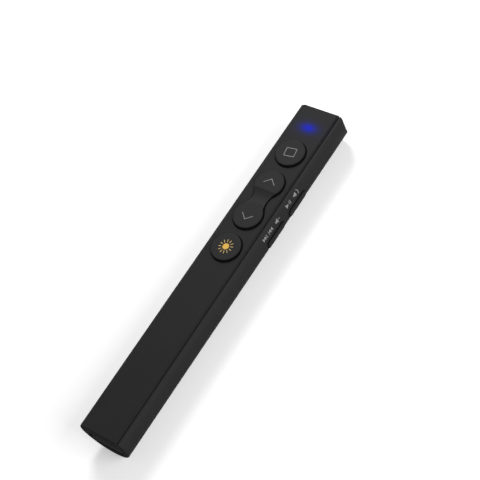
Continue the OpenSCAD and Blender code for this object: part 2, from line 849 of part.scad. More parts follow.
module receiver_contacts() {
    color("#d6b35a") for (x = [-3.5, -1, 1, 3.5])
        block([x - 0.5, receiver_y1 + 1, receiver_z], [x + 0.5, plug_y1 - 1.2, receiver_z + 0.15]);
}

bottom_case();
top_cover();
battery_cover();
blank_button();
blank_plunger();
page_rocker();
page_plungers();
page_rocker_pin();
laser_button();
laser_plunger();
volume_rocker();
volume_plungers();
media_rocker();
media_plungers();
side_rocker_pins();
main_board();
board_screws();
top_switches();
side_switches();
radio_chip();
crystal();
board_capacitors();
status_led();
led_light_guide();
laser_barrel();
laser_diode();
laser_leads();
laser_lens();
laser_window();
battery_cell();
battery_spring();
negative_contact();
positive_contact();
case_screws();
receiver_housing();
receiver_board();
receiver_shell();
receiver_tongue();
receiver_contacts();
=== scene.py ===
"""Dresses a wireless presentation clicker: finishes for every part, printed marks, studio and camera.

Sizes are written in millimetres and turned to metres with MM. The frame is the part's own: +Z up
through the keys, +Y towards the laser tip, +X towards the side rockers.
"""

import logging
import math
from collections.abc import Callable, Iterable
from dataclasses import dataclass
from enum import Enum
from typing import Any

import bmesh
import bpy
from mathutils import Matrix, Vector


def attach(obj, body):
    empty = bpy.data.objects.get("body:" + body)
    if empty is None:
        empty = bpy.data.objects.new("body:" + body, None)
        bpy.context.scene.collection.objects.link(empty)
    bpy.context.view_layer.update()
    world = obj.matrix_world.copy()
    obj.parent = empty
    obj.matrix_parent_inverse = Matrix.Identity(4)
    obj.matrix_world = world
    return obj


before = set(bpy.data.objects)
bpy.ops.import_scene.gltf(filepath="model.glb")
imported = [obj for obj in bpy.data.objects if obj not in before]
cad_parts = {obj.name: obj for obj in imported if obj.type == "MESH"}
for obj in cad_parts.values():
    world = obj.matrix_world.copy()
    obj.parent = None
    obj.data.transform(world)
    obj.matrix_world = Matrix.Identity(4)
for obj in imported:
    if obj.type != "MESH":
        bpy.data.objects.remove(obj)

MM = 0.001
LOG = logging.getLogger("clicker")

Point = tuple[float, float]
Outline = list[Point]


# ---------------------------------------------------------------- small tools


def linear(hex_code: str) -> tuple[float, float, float, float]:
    """Turns an sRGB hex colour to linear values.

    Args:
        hex_code: colour as "#rrggbb".

    Returns:
        Linear red, green and blue, and an alpha of 1.
    """
    parts = [int(hex_code[i : i + 2], 16) / 255 for i in (1, 3, 5)]
    r, g, b = (c / 12.92 if c <= 0.04045 else ((c + 0.055) / 1.055) ** 2.4 for c in parts)
    return r, g, b, 1.0


def add_node(
    tree: bpy.types.NodeTree,
    kind: str,
    inputs: dict[str | int, Any] | None = None,
    **settings: Any,
) -> bpy.types.Node:
    """Adds one shader node with its settings and links.

    Args:
        tree: node tree that gets the node.
        kind: node type without its "ShaderNode" prefix.
        inputs: a value, or a socket to link from, for each named or numbered input.
        **settings: attributes of the node.

    Returns:
        The new node.
    """
    node = tree.nodes.new("ShaderNode" + kind)
    for key, value in settings.items():
        setattr(node, key, value)
    for key, value in (inputs or {}).items():
        if isinstance(value, bpy.types.NodeSocket):
            tree.links.new(value, node.inputs[key])
        else:
            node.inputs[key].default_value = value
    return node


def per_metre(size_mm: float) -> float:
    """Gives the texture scale whose features are size_mm across, for coordinates in metres."""
    return 1 / (size_mm * MM)


def box_mm(part: str) -> tuple[Vector, Vector]:
    """Gives the low and the high corner of a carried-over part at rest, in millimetres."""
    corners = list(zip(*(Vector(corner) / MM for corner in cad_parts[part].bound_box)))
    return Vector(min(values) for values in corners), Vector(max(values) for values in corners)


def coat(
    tree: bpy.types.NodeTree,
    colour: bpy.types.NodeSocket,
    top: str,
    value: bpy.types.NodeSocket,
    start: float,
    full: float,
) -> bpy.types.NodeSocket:
    """Lays a second colour over the first where a value runs from start to full.

    Args:
        tree: node tree that gets the nodes.
        colour: the first colour.
        top: the second colour, as "#rrggbb".
        value: what decides between the two.
        start: value at which the second colour begins to show.
        full: value from which it covers the first.

    Returns:
        The socket of the blended colour.
    """
    share = add_node(
        tree, "MapRange", {"Value": value, "From Min": start, "From Max": full}
    ).outputs["Result"]
    return add_node(tree, "Mix", {0: share, 6: colour, 7: linear(top)}, data_type="RGBA").outputs[2]


def empty_material(name: str) -> bpy.types.Material:
    """Makes a material with an empty node tree."""
    material = bpy.data.materials.new(name)
    material.use_nodes = True
    material.node_tree.nodes.clear()
    return material


def dress(finish: "Finish", *nodes: str) -> None:
    """Gives carried-over parts a finish.

    Args:
        finish: the finish to use.
        *nodes: names of the parts.
    """
    material = finish.material()
    for name in nodes:
        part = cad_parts[name]
        for slot in part.material_slots:
            slot.material = material
        LOG.info("%s: %s", name, material.name)


# ------------------------------------------------------------------- finishes


class Finish:
    """A surface finish that makes one material and hands out the same one each time."""

    _made: dict[str, bpy.types.Material] = {}
    name: str

    def material(self) -> bpy.types.Material:
        """Returns this finish's material, made on first use."""
        if self.name not in Finish._made:
            material = empty_material(self.name)
            shader = self.shader(material.node_tree)
            add_node(material.node_tree, "OutputMaterial", {"Surface": shader.outputs[0]})
            Finish._made[self.name] = material
        return Finish._made[self.name]

    def shader(self, tree: bpy.types.NodeTree) -> bpy.types.Node:
        """Builds the finish's nodes and returns the surface shader."""
        raise NotImplementedError


@dataclass(frozen=True)
class GlowSpot:
    """Light that shines through the skin of a part, brightest over the guide below it."""

    centre_mm: Point = (-0.15, 61.35)
    spread_mm: Point = (1.75, 1.05)
    colour: str = "#0026ff"
    dark: str = "#030309"
    strength: float = 0.53
    falloff: float = 4.0

    def mask(self, tree: bpy.types.NodeTree, place: bpy.types.NodeSocket) -> bpy.types.NodeSocket:
        """Builds a bell-shaped mask that is 1 over the guide and fades out round it.

        Args:
            tree: node tree that gets the nodes.
            place: coordinates in metres.

        Returns:
            The mask's socket.
        """
        centre = (self.centre_mm[0] * MM, self.centre_mm[1] * MM, 0)
        scale = (*(per_metre(spread * math.sqrt(2)) for spread in self.spread_mm), 0)
        away = add_node(tree, "VectorMath", {0: place, 1: centre}, operation="SUBTRACT").outputs[0]
        away = add_node(tree, "VectorMath", {0: away, 1: scale}, operation="MULTIPLY").outputs[0]
        square = add_node(
            tree, "VectorMath", {0: away, 1: away}, operation="DOT_PRODUCT"
        ).outputs["Value"]
        # falls like a bell near the middle and keeps a faint halo further out
        base = add_node(
            tree, "Math", {0: square, 1: 1 / self.falloff, 2: 1.0}, operation="MULTIPLY_ADD"
        ).outputs[0]
        return add_node(tree, "Math", {0: base, 1: -self.falloff}, operation="POWER").outputs[0]


@dataclass(frozen=True)
class SoftTouchPaint(Finish):
    """Soft-touch polyurethane sprayed over moulded ABS: deep matte black that hardly mirrors.

    The optional tones are painted light and shade: the crest tone is a painted highlight, and the
    skirt, under, end and seam tones are painted shade. Each begins at the first value of its pair and
    covers at the second: skirt, crest and under by how far the surface faces up, end by how far it
    faces along the body, and seam by how far it faces aside once its edge is rounded by the seam radius.
    """

    name: str
    base: str = "#222223"
    patch: str = "#262627"
    roughness: float = 0.55
    gloss_swing: float = 0.05
    end_roughness: float = 0.95
    specular: float = 0.055
    grain_mm: float = 0.3
    patch_mm: float = 9.0
    bump_mm: float = 0.006
    edge_mm: float = 0.12
    skirt_shade: str | None = None
    skirt_shade_up: Point = (0.6, 0.3)
    crest_highlight: str | None = None
    crest_highlight_up: Point = (0.1, 0.6)
    under: str | None = None
    under_up: Point = (0.05, -0.3)
    end: str | None = None
    end_along: Point = (0.6, 0.9)
    seam_shade: str | None = None
    seam_shade_aside: Point = (0.02, 0.6)
    seam_shade_mm: float = 0.9
    glow: GlowSpot | None = None

    def tones(
        self, tree: bpy.types.NodeTree, place: bpy.types.NodeSocket, up: bpy.types.NodeSocket
    ) -> bpy.types.NodeSocket:
        """Builds the paint's colour, with the painted light and shade that it lays on its slopes and
        creases.

        Args:
            tree: node tree that gets the nodes.
            place: coordinates in metres.
            up: how far the surface faces up, from -1 to 1.

        Returns:
            The colour's socket.
        """
        patches = add_node(
            tree, "TexNoise", {"Vector": place, "Scale": per_metre(self.patch_mm), "Detail": 3.0}
        ).outputs["Fac"]
        colour = add_node(
            tree, "Mix", {0: patches, 6: linear(self.base), 7: linear(self.patch)}, data_type="RGBA"
        ).outputs[2]
        if self.skirt_shade:
            # painted shade: walls that face aside are coloured darker than the top
            colour = coat(tree, colour, self.skirt_shade, up, *self.skirt_shade_up)
        if self.seam_shade:
            # painted shade: a soft darker band along both sides of the crease
            turned = add_node(tree, "Bevel", {"Radius": self.seam_shade_mm * MM}, samples=8).outputs["Normal"]
            across = add_node(tree, "SeparateXYZ", {0: turned}).outputs["X"]
            across = add_node(tree, "Math", {0: across}, operation="ABSOLUTE").outputs[0]
            colour = coat(tree, colour, self.seam_shade, across, *self.seam_shade_aside)
        if self.crest_highlight:
            # painted highlight: a little lighter along the crest of a shoulder
            colour = coat(tree, colour, self.crest_highlight, up, *self.crest_highlight_up)
        if self.under:
            # painted shade: the underside is coloured darkest
            colour = coat(tree, colour, self.under, up, *self.under_up)
        return colour

    def shader(self, tree: bpy.types.NodeTree) -> bpy.types.Node:
        """Builds the paint with its tones, its spray grain and softened edges."""
        coords = add_node(tree, "TexCoord")
        place = coords.outputs["Object"]
        facing = add_node(tree, "SeparateXYZ", {0: coords.outputs["Normal"]})
        colour = self.tones(tree, place, facing.outputs["Z"])
        # end faces keep the mould's coarse spark-eroded texture; their end tone is painted shade
        end = add_node(tree, "Math", {0: facing.outputs["Y"]}, operation="ABSOLUTE").outputs[0]
        if self.end:
            colour = coat(tree, colour, self.end, end, *self.end_along)
        coarse = add_node(
            tree, "MapRange",
            {"Value": end, "From Min": self.end_along[0], "From Max": self.end_along[1],
             "To Min": self.roughness, "To Max": self.end_roughness},
        ).outputs["Result"]
        # droplets of the spray coat, drawn coarse enough to show
        grain = add_node(
            tree, "TexNoise", {"Vector": place, "Scale": per_metre(self.grain_mm), "Detail": 2.0}
        ).outputs["Fac"]
        gloss = add_node(
            tree, "MapRange", {"Value": grain, "To Min": -self.gloss_swing, "To Max": self.gloss_swing}
        ).outputs["Result"]
        gloss = add_node(tree, "Math", {0: coarse, 1: gloss}, operation="ADD").outputs[0]
        edge = add_node(tree, "Bevel", {"Radius": self.edge_mm * MM}, samples=6).outputs["Normal"]
        relief = add_node(
            tree, "Bump",
            {"Strength": 0.5, "Distance": self.bump_mm * MM, "Height": grain, "Normal": edge},
        ).outputs["Normal"]
        shader = add_node(
            tree, "BsdfPrincipled",
            {"Roughness": gloss, "Normal": relief, "IOR": 1.5, "Specular IOR Level": self.specular},
        )
        if self.glow:
            mask = self.glow.mask(tree, place)
            colour = add_node(
                tree, "Mix", {0: mask, 6: colour, 7: linear(self.glow.dark)}, data_type="RGBA"
            ).outputs[2]
            light = add_node(
                tree, "Mix", {0: mask, 6: (0, 0, 0, 1), 7: linear(self.glow.colour)}, data_type="RGBA"
            ).outputs[2]
            tree.links.new(light, shader.inputs["Emission Color"])
            shader.inputs["Emission Strength"].default_value = self.glow.strength
        tree.links.new(colour, shader.inputs["Base Color"])
        return shader


@dataclass(frozen=True)
class MouldedPlastic(Finish):
    """Plastic straight from a spark-eroded mould: even colour, pebbled at a fifth of a millimetre.

    The optional dull tone is painted shade, darker towards the top: it begins at the first height of the
    pair and covers at the second.
    """

    name: str
    base: str
    roughness: float = 0.5
    specular: float = 0.5
    pebble_mm: float = 0.18
    flow_mm: float = 6.0
    flow_swing: float = 0.1
    bump_mm: float = 0.008
    edge_mm: float = 0.08
    dull: str | None = None
    shade_mm: Point = (4.8, 7.0)

    def shader(self, tree: bpy.types.NodeTree) -> bpy.types.Node:
        """Builds the plastic with its mould texture."""
        place = add_node(tree, "TexCoord").outputs["Object"]
        pebbles = add_node(
            tree, "TexVoronoi", {"Vector": place, "Scale": per_metre(self.pebble_mm)},
            feature="SMOOTH_F1",
        ).outputs["Distance"]
        flow = add_node(
            tree, "TexNoise", {"Vector": place, "Scale": per_metre(self.flow_mm), "Detail": 2.0}
        ).outputs["Fac"]
        darker, lighter = (
            (*(c * (1 + swing) for c in linear(self.base)[:3]), 1)
            for swing in (-self.flow_swing, self.flow_swing)
        )
        colour = add_node(tree, "Mix", {0: flow, 6: darker, 7: lighter}, data_type="RGBA").outputs[2]
        if self.dull:
            # painted shade: darker towards the top
            height = add_node(tree, "SeparateXYZ", {0: place}).outputs["Z"]
            colour = coat(tree, colour, self.dull, height, *(z * MM for z in self.shade_mm))
        edge = add_node(tree, "Bevel", {"Radius": self.edge_mm * MM}, samples=4).outputs["Normal"]
        relief = add_node(
            tree, "Bump",
            {"Strength": 0.4, "Distance": self.bump_mm * MM, "Height": pebbles, "Normal": edge},
        ).outputs["Normal"]
        return add_node(
            tree, "BsdfPrincipled",
            {"Base Color": colour, "Roughness": self.roughness, "Normal": relief, "IOR": 1.5,
             "Specular IOR Level": self.specular},
        )


@dataclass(frozen=True)
class PrintedInk(Finish):
    """Pad-printed ink: a thin, slightly uneven film that is a little glossier than the paint."""

    name: str
    base: str
    thin: str
    mottle_mm: float = 0.35

    def shader(self, tree: bpy.types.NodeTree) -> bpy.types.Node:
        """Builds the ink with thin places in its film."""
        place = add_node(tree, "TexCoord").outputs["Object"]
        film = add_node(
            tree, "TexNoise", {"Vector": place, "Scale": per_metre(self.mottle_mm), "Detail": 2.0}
        ).outputs["Fac"]
        colour = add_node(
            tree, "Mix", {0: film, 6: linear(self.thin), 7: linear(self.base)}, data_type="RGBA"
        ).outputs[2]
        return add_node(
            tree, "BsdfPrincipled",
            {"Base Color": colour, "Roughness": 0.5, "IOR": 1.5, "Specular IOR Level": 0.3},
        )


class Grain(Enum):
    """Direction of the fine marks that working leaves on a metal."""

    DRAWN_X = (0.08, 1.0, 1.0)
    DRAWN_Y = (1.0, 0.08, 1.0)
    DRAWN_Z = (1.0, 1.0, 0.08)
    PLATED = (1.0, 1.0, 1.0)


@dataclass(frozen=True)
class WorkedMetal(Finish):
    """Drawn, turned or plated metal: bright, with fine marks along the way it was worked."""

    name: str
    base: str
    dull: str
    grain: Grain = Grain.PLATED
    roughness: float = 0.28
    gloss_swing: Point = (0.08, -0.06)
    mark_mm: float = 0.12
    bump_mm: float = 0.002

    def shader(self, tree: bpy.types.NodeTree) -> bpy.types.Node:
        """Builds the metal with its marks."""
        place = add_node(tree, "TexCoord").outputs["Object"]
        along = add_node(tree, "Mapping", {"Vector": place, "Scale": self.grain.value}).outputs["Vector"]
        marks = add_node(
            tree, "TexNoise", {"Vector": along, "Scale": per_metre(self.mark_mm), "Detail": 3.0}
        ).outputs["Fac"]
        colour = add_node(
            tree, "Mix", {0: marks, 6: linear(self.dull), 7: linear(self.base)}, data_type="RGBA"
        ).outputs[2]
        gloss = add_node(
            tree, "MapRange",
            {"Value": marks, "To Min": self.roughness + self.gloss_swing[0],
             "To Max": self.roughness + self.gloss_swing[1]},
        ).outputs["Result"]
        relief = add_node(
            tree, "Bump", {"Strength": 0.3, "Distance": self.bump_mm * MM, "Height": marks}
        ).outputs["Normal"]
        return add_node(
            tree, "BsdfPrincipled",
            {"Base Color": colour, "Metallic": 1.0, "Roughness": gloss, "Normal": relief},
        )


@dataclass(frozen=True)
class SolderMask(Finish):
    """Glass-epoxy board under green solder mask, with copper tracks that show as paler lines."""

    name: str
    base: str = "#0d4a2a"
    track: str = "#1c7044"
    pitch_mm: float = 0.9
    track_mm: float = 0.03

    def shader(self, tree: bpy.types.NodeTree) -> bpy.types.Node:
        """Builds the lacquered board and its tracks."""
        place = add_node(tree, "TexCoord").outputs["Object"]
        tracks = add_node(
            tree, "TexBrick",
            {"Vector": place, "Scale": per_metre(self.pitch_mm * 2), "Mortar Size": 0.02, "Bias": 0.0,
             "Brick Width": 1.7, "Row Height": 0.5},
        ).outputs["Fac"]
        colour = add_node(
            tree, "Mix", {0: tracks, 6: linear(self.base), 7: linear(self.track)}, data_type="RGBA"
        ).outputs[2]
        relief = add_node(
            tree, "Bump", {"Strength": 0.5, "Distance": self.track_mm * MM, "Height": tracks}
        ).outputs["Normal"]
        return add_node(
            tree, "BsdfPrincipled",
            {"Base Color": colour, "Roughness": 0.25, "IOR": 1.5, "Normal": relief, "Coat Weight": 0.3},
        )


@dataclass(frozen=True)
class ClearMoulding(Finish):
    """Clear, tinted or frosted moulding or glass that lets light through."""

    name: str
    base: str
    roughness: float = 0.05
    ior: float = 1.49
    haze_mm: float = 0.5
    haze_swing: float = 0.08

    def shader(self, tree: bpy.types.NodeTree) -> bpy.types.Node:
        """Builds the clear body with a little haze."""
        place = add_node(tree, "TexCoord").outputs["Object"]
        haze = add_node(
            tree, "TexNoise", {"Vector": place, "Scale": per_metre(self.haze_mm), "Detail": 1.0}
        ).outputs["Fac"]
        gloss = add_node(
            tree, "MapRange",
            {"Value": haze, "To Min": self.roughness, "To Max": self.roughness + self.haze_swing},
        ).outputs["Result"]
        return add_node(
            tree, "BsdfPrincipled",
            {"Base Color": linear(self.base), "Roughness": gloss, "IOR": self.ior,
             "Transmission Weight": 0.9},
        )


@dataclass(frozen=True)
class CellSleeve(Finish):
    """Printed shrink sleeve on a plated steel can: a dark body, a copper collar and bare metal ends."""

    name: str
    y0_mm: float
    y1_mm: float
    body: str = "#1e2a33"
    collar: str = "#a8672f"
    can: str = "#c3c5c7"
    body_share: float = 0.012
    collar_share: float = 0.72
    tip_share: float = 0.965
    scuff_mm: float = 1.2

    def shader(self, tree: bpy.types.NodeTree) -> bpy.types.Node:
        """Builds the sleeve's bands along the cell."""
        place = add_node(tree, "TexCoord").outputs["Object"]
        along = add_node(tree, "SeparateXYZ", {0: place}).outputs["Y"]
        share = add_node(
            tree, "MapRange",
            {"Value": along, "From Min": self.y0_mm * MM, "From Max": self.y1_mm * MM},
        ).outputs["Result"]
        bands = add_node(tree, "ValToRGB", {"Fac": share})
        ramp = bands.color_ramp
        ramp.interpolation = "CONSTANT"
        ramp.elements[0].position, ramp.elements[0].color = 0.0, linear(self.can)
        ramp.elements[1].position, ramp.elements[1].color = self.body_share, linear(self.body)
        for position, colour in ((self.collar_share, self.collar), (self.tip_share, self.can)):
            ramp.elements.new(position).color = linear(colour)
        scuffs = add_node(
            tree, "TexNoise", {"Vector": place, "Scale": per_metre(self.scuff_mm), "Detail": 4.0}
        ).outputs["Fac"]
        gloss = add_node(
            tree, "MapRange", {"Value": scuffs, "To Min": 0.18, "To Max": 0.34}
        ).outputs["Result"]
        return add_node(
            tree, "BsdfPrincipled",
            {"Base Color": bands.outputs["Color"], "Metallic": 0.75, "Roughness": gloss,
             "Coat Weight": 0.4},
        )


# -------------------------------------------------------------- printed marks


def round_rect(half: Point, corner: float, steps: int = 6) -> Outline:
    """Gives a rectangle with round corners.

    Args:
        half: half width and half height.
        corner: corner radius.
        steps: segments in each corner.

    Returns:
        Its outline, anticlockwise.
    """
    points = []
    for quarter, (sx, sy) in enumerate(((1, 1), (-1, 1), (-1, -1), (1, -1))):
        for i in range(steps + 1):
            a = math.radians(90 * (quarter + i / steps))
            points.append((sx * (half[0] - corner) + corner * math.cos(a),
                           sy * (half[1] - corner) + corner * math.sin(a)))
    return points


def ring(outer: Outline, inner: Outline) -> list[Outline]:
    """Gives the quads between two outlines with the same number of points."""
    count = len(outer)
    return [
        [outer[i], outer[(i + 1) % count], inner[(i + 1) % count], inner[i]] for i in range(count)
    ]


def arc_band(centre: Point, radius: float, width: float, reach: float, steps: int = 8) -> Outline:
    """Gives a curved bar, opening towards negative u.

    Args:
        centre: centre of the arc.
        radius: middle radius of the bar.
        width: width of the bar.
        reach: half of its angle in degrees.
        steps: segments along it.

    Returns:
        Its outline.
    """
    def edge(r: float, turns: Iterable[int]) -> Outline:
        """Gives the points of one edge of the bar."""
        angles = [math.radians(reach * (2 * i / steps - 1)) for i in turns]
        return [(centre[0] + r * math.cos(a), centre[1] + r * math.sin(a)) for a in angles]

    return edge(radius + width / 2, range(steps + 1)) + edge(radius - width / 2, range(steps, -1, -1))


def disc(radius: float, sides: int = 48) -> Outline:
    """Gives a circle about the origin."""
    return [(radius * math.cos(2 * math.pi * i / sides), radius * math.sin(2 * math.pi * i / sides))
            for i in range(sides)]


def moved(outlines: Iterable[Outline], du: float = 0.0, turn: float = 0.0) -> list[Outline]:
    """Gives outlines turned about the origin, in degrees, and then shifted along u."""
    c, s = math.cos(math.radians(turn)), math.sin(math.radians(turn))
    return [[(u * c - v * s + du, u * s + v * c) for u, v in points] for points in outlines]


@dataclass(frozen=True)
class InkFilm:
    """How thick a printed mark stands, how deep it keys into the part, and how finely it bends."""

    rise_mm: float = 0.02
    root_mm: float = 0.05
    strip_mm: float = 0.2
    weld_mm: float = 1e-5

    def mark(
        self,
        name: str,
        outlines: list[Outline],
        surface: Callable[[float, float, float], Vector],
        finish: Finish,
        body: str,
    ) -> bpy.types.Object:
        """Makes one printed mark as a closed film that follows the part's surface.

        Args:
            name: name of the piece.
            outlines: flat outlines in millimetres that don't overlap.
            surface: gives the place in millimetres for two flat coordinates and a height.
            finish: its ink.
            body: name of the body that it moves with.

        Returns:
            The mark's object.
        """
        mesh = bmesh.new()
        for points in outlines:
            mesh.faces.new([mesh.verts.new((u, v, 0)) for u, v in points])
        bmesh.ops.remove_doubles(mesh, verts=mesh.verts[:], dist=self.weld_mm)
        bmesh.ops.recalc_face_normals(mesh, faces=mesh.faces[:])
        first, last = (
            math.ceil(end(v.co.y for v in mesh.verts) / self.strip_mm) for end in (min, max)
        )
        for i in range(first, last):
            bmesh.ops.bisect_plane(
                mesh, geom=mesh.verts[:] + mesh.edges[:] + mesh.faces[:],
                plane_co=(0, i * self.strip_mm, 0), plane_no=(0, 1, 0),
            )
        bmesh.ops.triangulate(mesh, faces=mesh.faces[:])
        for vertex in mesh.verts:
            vertex.co.z = -self.root_mm
        lifted = bmesh.ops.extrude_face_region(mesh, geom=mesh.faces[:])["geom"]
        for vertex in (g for g in lifted if isinstance(g, bmesh.types.BMVert)):
            vertex.co.z = self.rise_mm
        for vertex in mesh.verts:
            vertex.co = surface(*vertex.co) * MM
        bmesh.ops.recalc_face_normals(mesh, faces=mesh.faces[:])
        data = bpy.data.meshes.new(name)
        mesh.to_mesh(data)
        mesh.free()
        data.materials.append(finish.material())
        piece = bpy.data.objects.new(name, data)
        bpy.context.scene.collection.objects.link(piece)
        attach(piece, body)
        LOG.info("%s: %d faces on %s", name, len(data.polygons), body)
        return piece


# --------------------------------------------------------------- sub-assemblies


@dataclass(frozen=True)
class Housing:
    """Case, top cover and screws, with the marks beside the side rockers.

    The marks' places are counted along the body from the middle of the rocker they stand beside.
    """

    axis_z_mm: float = 9.6
    shoulder_r_mm: float = 6.28
    mark_z_mm: float = 11.9
    mark_half_mm: float = 0.72
    stroke_mm: float = 0.24
    wave_u_mm: float = -0.35
    wave_r_mm: float = 1.35
    wave_reach: float = 44.0
    dash_u_mm: float = 0.45
    dash_half_mm: float = 0.36
    volume_up_mm: float = 1.7
    play_mm: float = -3.3
    volume_down_mm: float = 3.9
    previous_mm: float = -0.8
    next_mm: float = -4.8

    def shoulder(self, rocker: str, shift: float) -> Callable[[float, float, float], Vector]:
        """Gives the mapping from a flat mark to the shoulder beside a rocker.

        Args:
            rocker: name of the rocker.
            shift: centre of the mark along the body, counted from the rocker's middle.

        Returns:
            A function of the coordinate along the body, the one up the shoulder, and the height.
        """
        low, high = box_mm(rocker)
        y = (low.y + high.y) / 2 + shift
        axis_x = box_mm("bottom_case")[1].x - self.shoulder_r_mm
        middle = math.asin((self.mark_z_mm - self.axis_z_mm) / self.shoulder_r_mm)

        def place(u: float, v: float, h: float) -> Vector:
            """Gives the place of one point of the mark."""
            a = middle + v / self.shoulder_r_mm
            r = self.shoulder_r_mm + h
            return Vector((axis_x + r * math.cos(a), y + u, self.axis_z_mm + r * math.sin(a)))

        return place

    def speaker(self) -> Outline:
        """Gives a loudspeaker that faces the tip."""
        back, neck, rim = -1.75, -1.15, -0.25
        box, horn = 0.34, 0.9
        return [(back, -box), (neck, -box), (rim, -horn), (rim, horn), (neck, box), (back, box)]

    def triangle(self, u: float, length: float = 1.05) -> Outline:
        """Gives a triangle of the media marks, which points towards the tip from u."""
        return [(u, -self.mark_half_mm), (u + length, 0.0), (u, self.mark_half_mm)]

    def bar(self, u: float) -> Outline:
        """Gives an upright bar of the media marks."""
        w, h = self.stroke_mm / 2, self.mark_half_mm
        return [(u - w, -h), (u + w, -h), (u + w, h), (u - w, h)]

    def build(self, film: InkFilm, ink: Finish) -> None:
        """Dresses the housing and prints its marks.

        Args:
            film: the ink film.
            ink: the pale ink.
        """
        # the case's crest tone is a painted highlight; its under and end tones are painted shade
        dress(SoftTouchPaint("soft_touch_paint_case", crest_highlight="#2b2b2c", under="#070707", end="#1b1b1c"),
              "bottom_case")
        # the cover's seam and end tones are painted shade
        dress(SoftTouchPaint("soft_touch_paint_cover", seam_shade="#202021", end="#1b1b1c", glow=GlowSpot()),
              "top_cover")
        dress(WorkedMetal("zinc_plated_steel", "#9a9ca0", "#7d8084"), "case_screws")
        wave = arc_band((self.wave_u_mm, 0), self.wave_r_mm, self.stroke_mm * 1.2, self.wave_reach)
        dash = round_rect((self.dash_half_mm, self.stroke_mm / 2), self.stroke_mm / 3)
        dash = moved([dash], du=self.dash_u_mm)[0]
        skip = [self.triangle(-0.95), self.triangle(0.12), self.bar(1.35)]
        play = [self.triangle(-1.5, 1.6), self.bar(0.55), self.bar(1.15)]
        marks = {
            "volume_up_mark": ([self.speaker(), wave], "volume_rocker", self.volume_up_mm),
            "play_mark": (play, "volume_rocker", self.play_mm),
            "volume_down_mark": ([self.speaker(), dash], "media_rocker", self.volume_down_mm),
            "previous_mark": (moved(skip, turn=180), "media_rocker", self.previous_mm),
            "next_mark": (skip, "media_rocker", self.next_mm),
        }
        for name, (outlines, rocker, shift) in marks.items():
            film.mark(name, outlines, self.shoulder(rocker, shift), ink, "handset")


@dataclass(frozen=True)
class KeyPad:
    """Round keys and the page rocker, with their printed marks, plungers and pin."""

    stroke_mm: float = 0.2
    box_half_mm: Point = (2.1, 1.75)
    box_corner_mm: float = 0.35
    box_turn: float = 8.0
    box_shift_mm: float = 0.15
    up_shift_mm: float = 8.0
    down_shift_mm: float = -8.05
    chevron_half_mm: float = 2.3
    chevron_rise_mm: float = 1.05
    sun_r_mm: float = 1.2
    ray_mm: Point = (1.7, 2.8)
    ray_w_mm: float = 0.24
    rays: int = 12

    def key_top(self, key: str, shift: float = 0.0) -> Callable[[float, float, float], Vector]:
        """Gives the mapping from a flat mark to a key's top, shifted along the body from its middle."""
        low, high = box_mm(key)
        y = (low.y + high.y) / 2 + shift
        return lambda u, v, h: Vector((u, y + v, high.z + h))

    def box_mark(self) -> list[Outline]:
        """Gives the rounded square of the blank-screen key."""
        w, h = self.box_half_mm
        s = self.stroke_mm
        return ring(round_rect((w, h), self.box_corner_mm),
                    round_rect((w - s, h - s), self.box_corner_mm - s * 0.7))

    def chevron(self) -> list[Outline]:
        """Gives a chevron that points towards the tip."""
        w, h = self.chevron_half_mm, self.chevron_rise_mm
        slant = math.hypot(w, 2 * h) / w * self.stroke_mm
        return [[(-w, -h), (0, h), (w, -h), (w, -h - slant), (0, h - slant), (-w, -h - slant)]]

    def sun_rays(self) -> list[Outline]:
        """Gives the rays round the sun of the laser key."""
        near, far = self.ray_mm
        w = self.ray_w_mm / 2
        ray = [(near, -w), (far, -w), (far, w), (near, w)]
        turns = [(i + 0.5) * 360 / self.rays for i in range(self.rays)]
        return [points for turn in turns for points in moved([ray], turn=turn)]

    def build(self, film: InkFilm, ink: Finish) -> None:
        """Dresses the keys and prints their marks.

        Args:
            film: the ink film.
            ink: the pale ink.
        """
        # the keys' skirt tone is painted shade on their walls
        keys = SoftTouchPaint("soft_touch_paint_keys", base="#262626", patch="#2a2a2a",
                              skirt_shade="#0c0c0c", edge_mm=0.35)
        dress(keys, "blank_button", "page_rocker", "laser_button")
        dress(MouldedPlastic("moulded_nylon_ivory", "#d2cbb8"), "blank_plunger", "page_plungers",
              "laser_plunger", "volume_plungers", "media_plungers")
        dress(WorkedMetal("drawn_steel_cross_pin", "#b5b8bc", "#8e9196", Grain.DRAWN_X),
              "page_rocker_pin")
        film.mark("blank_mark", moved(self.box_mark(), turn=self.box_turn),
                  self.key_top("blank_button", self.box_shift_mm), ink, "blank_key")
        film.mark("page_up_mark", self.chevron(),
                  self.key_top("page_rocker", self.up_shift_mm), ink, "page_key")
        film.mark("page_down_mark", moved(self.chevron(), turn=180),
                  self.key_top("page_rocker", self.down_shift_mm), ink, "page_key")
        film.mark("laser_sun_mark", [disc(self.sun_r_mm)], self.key_top("laser_button"),
                  PrintedInk("printed_ink_amber", "#e0b040", "#d2a030"), "laser_key")
        film.mark("laser_ray_marks", self.sun_rays(), self.key_top("laser_button"),
                  PrintedInk("printed_ink_pale_amber", "#cdb272", "#b8994f"), "laser_key")


@dataclass(frozen=True)
class SideRockers:
    """The two rockers on the right side and their upright pins."""

    def build(self) -> None:
        """Dresses the rockers and pins."""
        dress(SoftTouchPaint("soft_touch_paint_side_keys", base="#121213", patch="#161617"),
              "volume_rocker", "media_rocker")
        dress(WorkedMetal("drawn_steel_upright_pins", "#b5b8bc", "#8e9196", Grain.DRAWN_Z),
              "side_rocker_pins")


